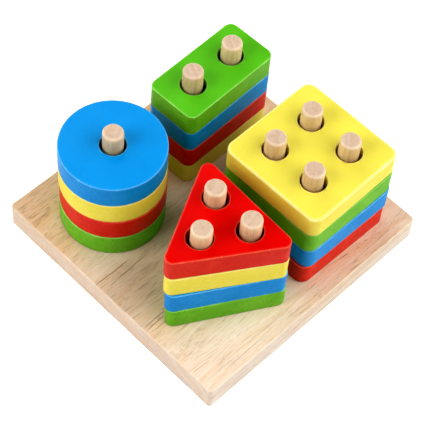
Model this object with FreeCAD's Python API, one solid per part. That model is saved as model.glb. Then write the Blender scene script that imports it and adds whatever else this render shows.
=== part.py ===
import FreeCAD, Part

# Wooden geometric peg stacker: a square board with ten glued dowel pegs and four stacks of four
# painted wooden blocks that lift off upwards.  Discs stand on one peg, rectangles on two,
# triangles on three and squares on four.
#
# Millimetres.  +Z is up, +X runs along the board's grain, -Y is the front edge.  The origin is
# the centre of the board's underside.

import math
import os

# ---- Board -----------------------------------------------------------------------------------
BOARD_THICKNESS = 14.7
BOARD_CORNER_RADIUS = 2.2      # upright corners, seen from above
BOARD_EDGE_ROUND = 0.6         # eased edges round the top and the underside
SIDE_MARGIN = 10.55            # bare board left and right of the widest blocks
FRONT_MARGIN = 12.05           # bare board in front of the front row
BACK_MARGIN = 8.3              # bare board behind the back row
COLUMN_GAP = 10.8              # clear gap between the left and right columns
ROW_GAP = 9.55                 # clear gap between the front and back rows

# ---- Blocks ----------------------------------------------------------------------------------
BLOCK_THICKNESS = 13.5
BLOCKS_IN_STACK = 4
DISC_DIAMETER = 52.9
SQUARE_SIDE = 60.2
SQUARE_CORNER_RADIUS = 5.4
RECTANGLE_LENGTH = 59.1        # along X
RECTANGLE_WIDTH = 30.1         # along Y
RECTANGLE_CORNER_RADIUS = 4.4
TRIANGLE_SIDE = 65.3           # equilateral, measured between its sharp corners
TRIANGLE_CORNER_RADIUS = 4.0
BLOCK_EDGE_ROUND = 0.5         # eased edges of a block's outline
SOFT_EDGE_ROUND = 1.2          # the top square is sanded softer than the others
HOLE_EDGE_ROUND = 0.4          # eased mouths of the peg holes, cut at 45 degrees
RECTANGLE_OFFSET_X = -0.8      # the rectangles stand a little left of the squares' centre line
RECTANGLE_OFFSET_Y = 0.9       # and a little behind the discs' centre line

# ---- Pegs ------------------------------------------------------------------------------------
PEG_DIAMETER = 10.5
DISC_PEG_PROUD = 9.1           # how far the pegs of each kind stand above their full stack
RECTANGLE_PEG_PROUD = 9.6
SQUARE_PEG_PROUD = 9.2
TRIANGLE_PEG_PROUD = 8.3
PEG_TIP_ROUND = 1.2
PEG_FOOT_CHAMFER = 0.8
SEAT_FLOOR = 4.7               # board left under a peg's blind hole
SQUARE_PEG_PITCH = 25.0
RECTANGLE_PEG_PITCH = 26.6
TRIANGLE_PEG_PITCH = 23.6

# ---- Fits ------------------------------------------------------------------------------------
HOLE_PLAY = 1.3                # radial gap between a peg and a block's hole

# How each block of a stack lies on its pegs, bottom block first: its colour, how much of the
# radial play it has slid towards +X and +Y, and how much its turning takes up at the pegs
# (anticlockwise from above is positive).  The three together stay under the whole play.
DISC_STACK = (
    ("green", -0.50, -0.79, 0.0),
    ("red", -0.28, -0.74, 0.0),
    ("yellow", -0.37, -0.48, 0.0),
    ("blue", -0.39, -0.38, 0.0),
)
RECTANGLE_STACK = (
    ("yellow", -0.28, -0.42, 0.18),
    ("red", -0.30, -0.58, 0.24),
    ("blue", -0.28, -0.52, 0.28),
    ("green", -0.40, -0.51, 0.34),
)
SQUARE_STACK = (
    ("red", -0.30, -0.55, -0.20),
    ("blue", 0.41, -0.63, -0.11),
    ("green", 0.30, -0.31, -0.05),
    ("yellow", -0.05, -0.30, 0.15),
)
TRIANGLE_STACK = (
    ("green", -0.10, -0.90, 0.03),
    ("blue", -0.42, -0.73, -0.10),
    ("yellow", -0.45, -0.33, -0.37),
    ("red", -0.38, -0.10, -0.50),
)

# ---- Sizes that follow -----------------------------------------------------------------------
HOLE_RADIUS = PEG_DIAMETER / 2 + HOLE_PLAY
STACK_HEIGHT = BLOCKS_IN_STACK * BLOCK_THICKNESS
SEAT_DEPTH = BOARD_THICKNESS - SEAT_FLOOR

TRIANGLE_INRADIUS = TRIANGLE_SIDE / (2 * math.sqrt(3))
# A rounded 60-degree corner stops one corner radius short of the sharp one.
TRIANGLE_TIP_REACH = 2 * TRIANGLE_INRADIUS - TRIANGLE_CORNER_RADIUS
TRIANGLE_LENGTH = TRIANGLE_INRADIUS + TRIANGLE_TIP_REACH
TRIANGLE_HALF_WIDTH = TRIANGLE_SIDE / 2 - (math.sqrt(3) - 1) * TRIANGLE_CORNER_RADIUS

LEFT_COLUMN = max(DISC_DIAMETER, TRIANGLE_LENGTH)
RIGHT_COLUMN = max(SQUARE_SIDE, RECTANGLE_LENGTH)
FRONT_ROW = max(SQUARE_SIDE, 2 * TRIANGLE_HALF_WIDTH)
BACK_ROW = max(DISC_DIAMETER, RECTANGLE_WIDTH)
BOARD_LENGTH = 2 * SIDE_MARGIN + LEFT_COLUMN + COLUMN_GAP + RIGHT_COLUMN
BOARD_WIDTH = FRONT_MARGIN + FRONT_ROW + ROW_GAP + BACK_ROW + BACK_MARGIN

LEFT_CENTRE_X = -BOARD_LENGTH / 2 + SIDE_MARGIN + LEFT_COLUMN / 2
RIGHT_CENTRE_X = BOARD_LENGTH / 2 - SIDE_MARGIN - RIGHT_COLUMN / 2
FRONT_CENTRE_Y = -BOARD_WIDTH / 2 + FRONT_MARGIN + FRONT_ROW / 2
BACK_CENTRE_Y = BOARD_WIDTH / 2 - BACK_MARGIN - BACK_ROW / 2

DISC_CENTRE = (LEFT_CENTRE_X, BACK_CENTRE_Y)
SQUARE_CENTRE = (RIGHT_CENTRE_X, FRONT_CENTRE_Y)
RECTANGLE_CENTRE = (RIGHT_CENTRE_X + RECTANGLE_OFFSET_X, BACK_CENTRE_Y + RECTANGLE_OFFSET_Y)
# The triangle points to -X and its tip starts at the side margin.
TRIANGLE_CENTRE = (-BOARD_LENGTH / 2 + SIDE_MARGIN + TRIANGLE_TIP_REACH, FRONT_CENTRE_Y)

# Peg places round each stack's centre, by the name each peg goes by.
DISC_PEGS = {"peg_disc": (0.0, 0.0)}
RECTANGLE_PEGS = {
    "peg_rectangle_left": (-RECTANGLE_PEG_PITCH / 2, 0.0),
    "peg_rectangle_right": (RECTANGLE_PEG_PITCH / 2, 0.0),
}
TRIANGLE_PEG_REACH = TRIANGLE_PEG_PITCH / math.sqrt(3)
TRIANGLE_PEGS = {
    "peg_triangle_tip": (-TRIANGLE_PEG_REACH, 0.0),
    "peg_triangle_front": (TRIANGLE_PEG_REACH / 2, -TRIANGLE_PEG_PITCH / 2),
    "peg_triangle_back": (TRIANGLE_PEG_REACH / 2, TRIANGLE_PEG_PITCH / 2),
}
SQUARE_PEGS = {
    "peg_square_front_left": (-SQUARE_PEG_PITCH / 2, -SQUARE_PEG_PITCH / 2),
    "peg_square_front_right": (SQUARE_PEG_PITCH / 2, -SQUARE_PEG_PITCH / 2),
    "peg_square_back_left": (-SQUARE_PEG_PITCH / 2, SQUARE_PEG_PITCH / 2),
    "peg_square_back_right": (SQUARE_PEG_PITCH / 2, SQUARE_PEG_PITCH / 2),
}


# ---- Outlines --------------------------------------------------------------------------------
def rounded_polygon(corners, radius):
    """A flat face at Z = 0 whose sharp corners, given anticlockwise, are rounded."""
    points = [FreeCAD.Vector(x, y, 0) for x, y in corners]
    count = len(points)
    rounds = []
    for index, corner in enumerate(points):
        towards_last = (points[index - 1] - corner).normalize()
        towards_next = (points[(index + 1) % count] - corner).normalize()
        half_angle = towards_last.getAngle(towards_next) / 2
        bisector = (towards_last + towards_next).normalize()
        cut_back = radius / math.tan(half_angle)
        start = corner + towards_last * cut_back
        middle = corner + bisector * (radius / math.sin(half_angle) - radius)
        end = corner + towards_next * cut_back
        rounds.append((start, middle, end))
    edges = []
    for index, (start, middle, end) in enumerate(rounds):
        last_end = rounds[index - 1][2]
        edges.append(Part.LineSegment(last_end, start).toShape())
        edges.append(Part.Arc(start, middle, end).toShape())
    return Part.Face(Part.Wire(edges))


def rectangle_outline(length, width, radius):
    x = length / 2
    y = width / 2
    return rounded_polygon([(x, -y), (x, y), (-x, y), (-x, -y)], radius)


def triangle_outline():
    """Equilateral, pointing to -X, with its centroid on the origin."""
    x = TRIANGLE_INRADIUS
    y = TRIANGLE_SIDE / 2
    return rounded_polygon([(x, -y), (x, y), (-2 * x, 0)], TRIANGLE_CORNER_RADIUS)


def disc_outline():
    return Part.Face(Part.Wire(Part.makeCircle(DISC_DIAMETER / 2)))


# ---- Helpers ---------------------------------------------------------------------------------
def rim_edges(solid, bottom, top):
    """The edges that lie in the bottom plane or in the top plane."""
    found = []
    for edge in solid.Edges:
        box = edge.BoundBox
        if box.ZLength > 1e-6:
            continue
        if abs(box.ZMin - bottom) < 1e-6 or abs(box.ZMin - top) < 1e-6:
            found.append(edge)
    return found


def placed(shape, x, y, z, turn_degrees=0.0):
    """Turn a shape about its own upright axis, then move it."""
    moved = shape.copy()
    moved.rotate(FreeCAD.Vector(0, 0, 0), FreeCAD.Vector(0, 0, 1), turn_degrees)
    moved.translate(FreeCAD.Vector(x, y, z))
    return moved


# ---- Pieces ----------------------------------------------------------------------------------
def make_block(outline, pegs, edge_round):
    """A block with a through hole for each of its pegs, standing on Z = 0."""
    body = outline.extrude(FreeCAD.Vector(0, 0, BLOCK_THICKNESS))
    body = body.makeFillet(edge_round, rim_edges(body, 0, BLOCK_THICKNESS))
    for x, y in pegs.values():
        body = body.cut(hole_cutter(x, y))
    return body


def hole_cutter(x, y):
    """What a drill takes out of a block, with both mouths eased."""
    wide = HOLE_RADIUS + HOLE_EDGE_ROUND
    top_mouth = FreeCAD.Vector(x, y, BLOCK_THICKNESS - HOLE_EDGE_ROUND)
    drill = Part.makeCylinder(HOLE_RADIUS, BLOCK_THICKNESS, FreeCAD.Vector(x, y, 0))
    low = Part.makeCone(wide, HOLE_RADIUS, HOLE_EDGE_ROUND, FreeCAD.Vector(x, y, 0))
    high = Part.makeCone(HOLE_RADIUS, wide, HOLE_EDGE_ROUND, top_mouth)
    return drill.fuse([low, high])


def make_peg(proud):
    """A dowel standing on Z = 0: chamfered foot for its blind hole, rounded tip."""
    height = SEAT_DEPTH + STACK_HEIGHT + proud
    dowel = Part.makeCylinder(PEG_DIAMETER / 2, height)
    dowel = dowel.makeFillet(PEG_TIP_ROUND, rim_edges(dowel, height, height))
    return dowel.makeChamfer(PEG_FOOT_CHAMFER, rim_edges(dowel, 0, 0))


def make_board(peg_places):
    """The base board, with a blind hole that each peg is glued into."""
    outline = rectangle_outline(BOARD_LENGTH, BOARD_WIDTH, BOARD_CORNER_RADIUS)
    board = outline.extrude(FreeCAD.Vector(0, 0, BOARD_THICKNESS))
    board = board.makeFillet(BOARD_EDGE_ROUND, rim_edges(board, 0, BOARD_THICKNESS))
    for x, y in peg_places.values():
        seat = Part.makeCylinder(PEG_DIAMETER / 2, SEAT_DEPTH, FreeCAD.Vector(x, y, SEAT_FLOOR))
        board = board.cut(seat)
    return board


def make_stack(shape_name, outline, centre, pegs, stack):
    """All blocks of one stack, each lying a little off centre on its pegs."""
    peg_reach = max(math.hypot(x, y) for x, y in pegs.values())
    blocks = {}
    for level, (colour, slide_x, slide_y, turn) in enumerate(stack):
        soft = shape_name == "square" and level == BLOCKS_IN_STACK - 1
        block = make_block(outline, pegs, SOFT_EDGE_ROUND if soft else BLOCK_EDGE_ROUND)
        x = centre[0] + slide_x * HOLE_PLAY
        y = centre[1] + slide_y * HOLE_PLAY
        turn_degrees = math.degrees(turn * HOLE_PLAY / peg_reach) if peg_reach else 0.0
        z = BOARD_THICKNESS + level * BLOCK_THICKNESS
        blocks[colour + "_" + shape_name] = placed(block, x, y, z, turn_degrees)
    return blocks


def main():
    square_outline = rectangle_outline(SQUARE_SIDE, SQUARE_SIDE, SQUARE_CORNER_RADIUS)
    long_outline = rectangle_outline(RECTANGLE_LENGTH, RECTANGLE_WIDTH, RECTANGLE_CORNER_RADIUS)
    stacks = (
        ("disc", disc_outline(), DISC_CENTRE, DISC_PEGS, DISC_PEG_PROUD, DISC_STACK),
        ("rectangle", long_outline, RECTANGLE_CENTRE, RECTANGLE_PEGS, RECTANGLE_PEG_PROUD, RECTANGLE_STACK),
        ("square", square_outline, SQUARE_CENTRE, SQUARE_PEGS, SQUARE_PEG_PROUD, SQUARE_STACK),
        ("triangle", triangle_outline(), TRIANGLE_CENTRE, TRIANGLE_PEGS, TRIANGLE_PEG_PROUD, TRIANGLE_STACK),
    )
    peg_places = {}
    nodes = {}
    for shape_name, outline, centre, pegs, proud, stack in stacks:
        peg = make_peg(proud)
        for peg_name, (x, y) in pegs.items():
            place = (centre[0] + x, centre[1] + y)
            peg_places[peg_name] = place
            nodes[peg_name] = placed(peg, *place, SEAT_FLOOR)
        nodes.update(make_stack(shape_name, outline, centre, pegs, stack))
    nodes["base_board"] = make_board(peg_places)

    os.makedirs("parts", exist_ok=True)
    for node_name, shape in nodes.items():
        shape.exportStep("parts/" + node_name + ".step")


main()
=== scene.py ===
"""Looks of a wooden geometric peg stacker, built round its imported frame.

Lengths are in metres, in the frame's axes: +X along the board's grain, -Y towards the front edge,
+Z up.  Each sub-assembly is a class whose fields hold its sizes; every finish is a frozen dataclass
that makes its own procedural material from shared node groups.
"""

import logging
import math
from dataclasses import dataclass, field
from enum import Enum
from typing import Callable, Iterable, Iterator, Mapping, NamedTuple, Sequence

import bmesh
import bpy
import numpy as np
from mathutils import Matrix, Vector, geometry, noise


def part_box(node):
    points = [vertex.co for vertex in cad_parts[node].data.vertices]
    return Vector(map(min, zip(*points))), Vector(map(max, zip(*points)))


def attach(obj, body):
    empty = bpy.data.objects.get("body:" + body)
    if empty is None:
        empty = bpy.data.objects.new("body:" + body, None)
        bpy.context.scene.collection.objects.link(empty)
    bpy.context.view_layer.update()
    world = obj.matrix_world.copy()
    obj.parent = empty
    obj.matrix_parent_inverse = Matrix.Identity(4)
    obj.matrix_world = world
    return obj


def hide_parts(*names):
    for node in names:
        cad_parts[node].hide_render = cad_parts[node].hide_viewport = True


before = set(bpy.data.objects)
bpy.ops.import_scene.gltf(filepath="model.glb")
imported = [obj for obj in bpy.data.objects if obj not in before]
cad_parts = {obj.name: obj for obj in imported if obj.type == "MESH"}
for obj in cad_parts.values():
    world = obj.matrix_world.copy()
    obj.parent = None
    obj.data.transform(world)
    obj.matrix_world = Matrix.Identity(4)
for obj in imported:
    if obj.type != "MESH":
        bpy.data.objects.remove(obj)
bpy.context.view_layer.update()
LOG = logging.getLogger("peg_stacker")

MM = 0.001
LEVEL_TOLERANCE = 1e-6          # how far apart in height points of one level face can be
ARRIS = "arris"                 # vertex attribute: 1 on a rounded edge, 0 on flats and walls

Colour = tuple[float, float, float]
Socket = bpy.types.NodeSocket
WHITE = (1.0, 1.0, 1.0)


# ---- Choices ---------------------------------------------------------------------------------
class Plan(Enum):
    """The plan shapes of the blocks, by the word that ends their names."""

    DISC = "disc"
    RECTANGLE = "rectangle"
    SQUARE = "square"
    TRIANGLE = "triangle"


class Tint(Enum):
    """The paint colours, by the word that starts a block's name."""

    RED = "red"
    YELLOW = "yellow"
    BLUE = "blue"
    GREEN = "green"


class Grain(Enum):
    """Which way a bare piece's grain runs."""

    ALONG_X = "along_x"
    ALONG_Z = "along_z"


# ---- Node wiring -----------------------------------------------------------------------------
@dataclass
class Wiring:
    """Adds nodes to one node tree and joins them."""

    tree: bpy.types.NodeTree

    def fill(self, node: bpy.types.Node, inputs: dict) -> None:
        """Gives a node's inputs their values.

        Args:
            node: The node.
            inputs: Values or sockets by input name or index.
        """
        for name, value in inputs.items():
            if isinstance(value, bpy.types.NodeSocket):
                self.tree.links.new(value, node.inputs[name])
            else:
                node.inputs[name].default_value = value

    def add(self, kind: str, inputs: dict | None = None, **settings: object) -> bpy.types.Node:
        """Adds a node.

        Args:
            kind: The node's type name.
            inputs: Values or sockets by input name or index.
            settings: The node's own settings.

        Returns:
            The new node.
        """
        node = self.tree.nodes.new(kind)
        for name, value in settings.items():
            setattr(node, name, value)
        self.fill(node, inputs or {})
        return node

    def place(self, group: bpy.types.NodeTree, inputs: dict) -> bpy.types.Node:
        """Places a shared node group with its own values."""
        return self.add("ShaderNodeGroup", inputs, node_tree=group)

    def math(self, operation: str, *values: object, clamp: bool = False) -> Socket:
        """Adds a Math node and returns its result."""
        numbered = dict(enumerate(values))
        return self.add("ShaderNodeMath", numbered, operation=operation, use_clamp=clamp).outputs[0]

    def vector(self, operation: str, *values: object) -> Socket:
        """Adds a Vector Math node and returns its vector."""
        numbered = dict(enumerate(values))
        return self.add("ShaderNodeVectorMath", numbered, operation=operation).outputs[0]

    def length(self, vector: object) -> Socket:
        """Adds a node that measures a vector and returns its length."""
        return self.add("ShaderNodeVectorMath", {0: vector}, operation="LENGTH").outputs["Value"]

    def remap(
        self, value: object, low: float, high: float, to_low: float = 0.0, to_high: float = 1.0
    ) -> Socket:
        """Maps a value smoothly from one range to another.

        Args:
            value: The value or socket.
            low: The value that gives to_low.
            high: The value that gives to_high.
            to_low: The result at and beyond low.
            to_high: The result at and beyond high.

        Returns:
            The result's socket.
        """
        inputs = {"Value": value, "From Min": low, "From Max": high, "To Min": to_low, "To Max": to_high}
        node = self.add("ShaderNodeMapRange", inputs, interpolation_type="SMOOTHSTEP")
        return node.outputs["Result"]

    def noise(
        self, vector: object, scale: float = 1.0, detail: float = 2.0, rough: float = 0.5
    ) -> Socket:
        """Adds a 3D noise and returns its factor, which averages about a half."""
        inputs = {"Vector": vector, "Scale": scale, "Detail": detail, "Roughness": rough}
        return self.add("ShaderNodeTexNoise", inputs).outputs["Fac"]

    def blend(self, factor: object, first: object, second: object, mode: str = "MIX") -> Socket:
        """Mixes two colours.

        Args:
            factor: How much of the second colour shows, from 0 to 1.
            first: The colour underneath, or its socket.
            second: The colour on top, or its socket.
            mode: The way they mix.

        Returns:
            The mixed colour's socket.
        """
        inputs = {0: factor, 6: opaque(first), 7: opaque(second)}
        return self.add("ShaderNodeMix", inputs, data_type="RGBA", blend_type=mode).outputs[2]


def opaque(colour: object) -> object:
    """Gives a bare colour its alpha, and leaves a socket as it is."""
    return (*colour, 1.0) if isinstance(colour, tuple) and len(colour) == 3 else colour


# ---- Shared effects --------------------------------------------------------------------------
@dataclass
class Effects:
    """The node groups that several finishes share, each built once.

    Waves are noise scales per metre; three of them are along the grain and both ways across it.
    A span is the part of a noise's range over which an effect goes from none to full.
    """

    timber: bpy.types.NodeTree = field(init=False)
    edge_wear: bpy.types.NodeTree = field(init=False)
    handling: bpy.types.NodeTree = field(init=False)

    SWAY_WAVES = (9.0, 42.0, 42.0)
    SWAY_GAIN = 4.0
    FIBRE_WAVES = (38.0, 1900.0, 1900.0)
    FIBRE_RELIEF = 0.35
    BAND_SPAN = (0.30, 0.70)
    DRIFT_WAVES = (7.0, 22.0, 22.0)
    CROWD_WAVES = (9.0, 260.0, 260.0)
    CROWD_SPAN = (0.35, 0.65)
    CUT_WHERE_SPARSE = 0.05
    CUT_WHERE_CROWDED = -0.035
    PORE_FADE = 0.07
    WEAR_WAVES = 240.0
    WEAR_LEAST = 0.78
    WEAR_GAIN = 0.4
    WEAR_FADE = 0.12
    CLOUD_WAVES = 70.0
    CLOUD_SPAN = (0.3, 0.7)
    SPECK_WAVES = 620.0
    SPECK_FADE = 0.16
    ROLL_WAVES = 320.0

    def __post_init__(self) -> None:
        """Builds the three groups."""
        self.timber = self._build_timber()
        self.edge_wear = self._build_edge_wear()
        self.handling = self._build_handling()

    @staticmethod
    def _start(name: str, inputs: dict, outputs: Iterable[str]) -> tuple[Wiring, bpy.types.Node]:
        """Starts a group.

        Args:
            name: The group's name.
            inputs: Default values by input name; a tuple makes a vector input.
            outputs: The names of the value outputs.

        Returns:
            The group's wiring and its input node.
        """
        tree = bpy.data.node_groups.new(name, "ShaderNodeTree")
        for key, value in inputs.items():
            kind = "NodeSocketVector" if isinstance(value, tuple) else "NodeSocketFloat"
            tree.interface.new_socket(name=key, in_out="INPUT", socket_type=kind).default_value = value
        for key in outputs:
            tree.interface.new_socket(name=key, in_out="OUTPUT", socket_type="NodeSocketFloat")
        wiring = Wiring(tree)
        return wiring, wiring.add("NodeGroupInput")

    def _build_timber(self) -> bpy.types.NodeTree:
        """Solid wood whose grain runs along its input's X.

        Returns:
            A group that gives growth bands, fibres, pores, a slow drift of tone and a height.
        """
        inputs = {
            "Position": (0.0, 0.0, 0.0),
            "Pith": (0.0, 0.0, -0.05),
            "Band Width": 0.004,
            "Wander": 0.004,
            "Pore Length": 0.012,
            "Pore Width": 0.0004,
            "Pore Cut": 0.62,
        }
        names = ("Bands", "Fibres", "Pores", "Drift", "Height")
        w, given = self._start("timber", inputs, names)
        position = given.outputs["Position"]
        # The rings wander slowly along the grain and a little quicker across it.
        slow = w.vector("MULTIPLY", position, self.SWAY_WAVES)
        sway = w.add("ShaderNodeTexNoise", {"Vector": slow, "Scale": 1.0, "Detail": 2.0})
        sway = w.vector("SUBTRACT", sway.outputs["Color"], (0.5, 0.5, 0.5))
        reach = w.math("MULTIPLY", given.outputs["Wander"], self.SWAY_GAIN)
        push = w.add("ShaderNodeVectorMath", {0: sway, "Scale": reach}, operation="SCALE").outputs[0]
        moved = w.vector("ADD", position, push)
        from_pith = w.vector("SUBTRACT", moved, given.outputs["Pith"])
        radius = w.length(w.vector("MULTIPLY", from_pith, (0.0, 1.0, 1.0)))
        ring = w.math("DIVIDE", radius, given.outputs["Band Width"])
        banding = {"W": ring, "Scale": 1.0, "Detail": 3.0, "Roughness": 0.62}
        bands = w.add("ShaderNodeTexNoise", banding, noise_dimensions="1D").outputs["Fac"]
        bands = w.remap(bands, *self.BAND_SPAN)
        fibres = w.noise(w.vector("MULTIPLY", moved, self.FIBRE_WAVES), 1.0, 3.0, 0.6)
        drift = w.noise(w.vector("MULTIPLY", position, self.DRIFT_WAVES), 1.0, 1.0)
        # Pores are cells drawn out along the grain, thick in some bands and thin in others.
        long_way = w.math("DIVIDE", 1.0, given.outputs["Pore Length"])
        short_way = w.math("DIVIDE", 1.0, given.outputs["Pore Width"])
        cell_size = w.add("ShaderNodeCombineXYZ", {"X": long_way, "Y": short_way, "Z": short_way})
        cells = w.noise(w.vector("MULTIPLY", moved, cell_size.outputs[0]), 1.0, 1.0, 0.4)
        crowd = w.noise(w.vector("MULTIPLY", moved, self.CROWD_WAVES), 1.0, 2.0)
        crowd = w.remap(crowd, *self.CROWD_SPAN, self.CUT_WHERE_SPARSE, self.CUT_WHERE_CROWDED)
        start = w.math("ADD", given.outputs["Pore Cut"], crowd)
        pores = w.math("DIVIDE", w.math("SUBTRACT", cells, start), self.PORE_FADE, clamp=True)
        sunk = w.math("MULTIPLY", pores, -1.0)
        height = w.math("ADD", sunk, w.math("MULTIPLY", fibres, self.FIBRE_RELIEF))
        w.add("NodeGroupOutput", dict(zip(names, (bands, fibres, pores, drift, height))))
        return w.tree

    def _build_edge_wear(self) -> bpy.types.NodeTree:
        """Edges worn by handling, which the finishes paint lighter, partly as a painted highlight: full
        on some stretches of a rounded edge and gone on others.

        Returns:
            A group that turns the arris attribute into a broken-up mask.
        """
        inputs = {"Position": (0.0, 0.0, 0.0), "Arris": 0.0, "Amount": 0.5}
        w, given = self._start("edge_wear", inputs, ("Worn",))
        patches = w.noise(given.outputs["Position"], self.WEAR_WAVES, 3.0, 0.6)
        gain = w.math("MULTIPLY", given.outputs["Amount"], self.WEAR_GAIN)
        threshold = w.math("SUBTRACT", self.WEAR_LEAST, gain)
        showing = w.math("DIVIDE", w.math("SUBTRACT", patches, threshold), self.WEAR_FADE, clamp=True)
        w.add("NodeGroupOutput", {"Worn": w.math("MULTIPLY", showing, given.outputs["Arris"])})
        return w.tree

    def _build_handling(self) -> bpy.types.NodeTree:
        """A surface that hands have touched: cloudy gloss, fine specks and a slight roll.

        Returns:
            A group that gives a cloud mask, a speck mask and a height.
        """
        inputs = {"Position": (0.0, 0.0, 0.0), "Speck Cut": 0.7}
        w, given = self._start("handling", inputs, ("Clouds", "Specks", "Height"))
        position = given.outputs["Position"]
        clouds = w.remap(w.noise(position, self.CLOUD_WAVES, 3.0, 0.55), *self.CLOUD_SPAN)
        grains = w.noise(position, self.SPECK_WAVES, 3.0, 0.6)
        over = w.math("SUBTRACT", grains, given.outputs["Speck Cut"])
        specks = w.math("DIVIDE", over, self.SPECK_FADE, clamp=True)
        roll = w.noise(position, self.ROLL_WAVES, 2.0, 0.5)
        w.add("NodeGroupOutput", {"Clouds": clouds, "Specks": specks, "Height": roll})
        return w.tree


# ---- Finishes --------------------------------------------------------------------------------
def start_material(name: str) -> tuple[bpy.types.Material, Wiring, bpy.types.Node]:
    """Starts a node material.

    Args:
        name: The material's name.

    Returns:
        The material, its wiring, and its Principled shader, joined to the output.
    """
    material = bpy.data.materials.new(name)
    material.use_nodes = True
    tree = material.node_tree
    tree.nodes.clear()
    wiring = Wiring(tree)
    shader = wiring.add("ShaderNodeBsdfPrincipled")
    wiring.add("ShaderNodeOutputMaterial", {"Surface": shader.outputs["BSDF"]})
    return material, wiring, shader


@dataclass(frozen=True)
class Paint:
    """Enamel over wood: satin and even on the sanded faces, duller and fuzzier on the sawn sides.

    Its colour also holds painted light: the sides are painted paler for part of their sheen and
    light, the upper edges carry a painted highlight and the lower edges carry painted shade.

    A pair of strengths is for the sanded faces first and the sawn sides second.  A pair of facings
    is how far up a surface looks, from 1 to -1, where an effect starts and where it is full.
    """

    tint: Tint
    colour: Colour
    # The side colour is partly duller sawn paint and partly painted paler, for sheen and light on the
    # sides.
    side: Colour
    deep: Colour
    # The paler edge colour below is partly paint rubbed thin and partly a painted highlight.
    thin_and_highlight: Colour
    clouds: tuple[float, float] = (0.12, 0.32)
    fibres: tuple[float, float] = (0.08, 0.5)
    flecks: tuple[float, float] = (0.06, 0.30)
    wood_relief: tuple[float, float] = (0.15, 0.7)
    roll_relief: float = 0.8
    # Strengths of the lighter upper edges (painted highlight and rubbed paint) and of the worn patches
    # (wear that adds to the highlight).
    edge_highlight_and_rub: float = 0.5
    worn_rub_and_highlight: float = 0.6
    # How deep and what colour the painted shade is on the lower edges, where a block sits on the one
    # below.
    seam_shade_depth: float = 0.85
    seam_shade_tint: Colour = (0.2, 0.17, 0.15)
    roughness: float = 0.38
    roughness_swing: tuple[float, float] = (-0.04, 0.06)
    sawn_roughness: float = 0.14
    specular: float = 0.13
    coat: float = 0.45
    coat_roughness: float = 0.22
    coat_ior: float = 1.22
    bump: float = 0.35
    bump_depth: float = 0.12 * MM

    FACE_TO_SIDE = (0.75, 0.25)
    # Facings for the painted highlight on the upper edges and the painted shade on the lower edges.
    HIGHLIGHT_FACING = (-0.1, 0.4)
    SEAM_SHADE_FACING = (0.0, -0.5)

    def material(self, effects: Effects) -> bpy.types.Material:
        """Builds the paint.

        Args:
            effects: The shared node groups.

        Returns:
            The material.
        """
        material, w, shader = start_material(self.tint.value + "_enamel")
        place = w.add("ShaderNodeTexCoord")
        position = place.outputs["Object"]
        arris = w.add("ShaderNodeAttribute", attribute_name=ARRIS).outputs["Fac"]
        timber = {"Position": position, "Pith": (0.0, 0.02, -0.09), "Pore Cut": 0.60}
        wood = w.place(effects.timber, timber).outputs
        touched = w.place(effects.handling, {"Position": position, "Speck Cut": 0.46}).outputs
        worn = w.place(effects.edge_wear, {"Position": position, "Arris": arris, "Amount": 0.62})
        facing = w.add("ShaderNodeSeparateXYZ", {"Vector": place.outputs["Normal"]}).outputs["Z"]
        sawn = w.remap(w.math("ABSOLUTE", facing), *self.FACE_TO_SIDE)
        # Sides take the side colour: partly duller sawn paint, partly painted sheen and light.
        base = w.blend(sawn, self.colour, self.side)
        marks = (
            (touched["Clouds"], self.clouds),
            (wood["Fibres"], self.fibres),
            (touched["Specks"], self.flecks),
        )
        for mark, strengths in marks:
            showing = w.math("MULTIPLY", mark, w.remap(sawn, 0.0, 1.0, *strengths))
            base = w.blend(showing, base, self.deep)
        # Upper edges are painted lighter, partly paint rubbed thin and partly a painted highlight where
        # they catch the light, and the worn patches add to it; the lower edges get painted shade at the
        # seam.
        rubbed_and_highlight = w.math("MULTIPLY", arris, w.remap(facing, *self.HIGHLIGHT_FACING, 0.0, self.edge_highlight_and_rub))
        base = w.blend(rubbed_and_highlight, base, self.thin_and_highlight)
        base = w.blend(w.math("MULTIPLY", worn.outputs["Worn"], self.worn_rub_and_highlight), base, self.thin_and_highlight)
        # Painted shade: the lower edges are darkened where they close into the seam under the block.
        seam_shade = w.math("MULTIPLY", arris, w.remap(facing, *self.SEAM_SHADE_FACING, 0.0, self.seam_shade_depth))
        base = w.blend(seam_shade, base, self.seam_shade_tint, "MULTIPLY")
        smoothest, roughest = (self.roughness + swing for swing in self.roughness_swing)
        cloudy = w.remap(touched["Clouds"], 0.0, 1.0, smoothest, roughest)
        relief = w.math("MULTIPLY", wood["Height"], w.remap(sawn, 0.0, 1.0, *self.wood_relief))
        relief = w.math("ADD", relief, w.math("MULTIPLY", touched["Height"], self.roll_relief))
        bump = {"Strength": self.bump, "Distance": self.bump_depth, "Height": relief}
        w.fill(shader, {
            "Base Color": base,
            "Roughness": w.math("ADD", cloudy, w.math("MULTIPLY", sawn, self.sawn_roughness)),
            "Coat Weight": self.coat,
            "Coat Roughness": self.coat_roughness,
            "Coat IOR": self.coat_ior,
            "Specular IOR Level": self.specular,
            "Normal": w.add("ShaderNodeBump", bump).outputs["Normal"],
        })
        return material


@dataclass(frozen=True)
class Streak:
    """A dark mineral line in a board, in the board's own coordinates."""

    start: float
    end: float
    across: float
    slope: float
    width: float
    strength: float


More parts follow.
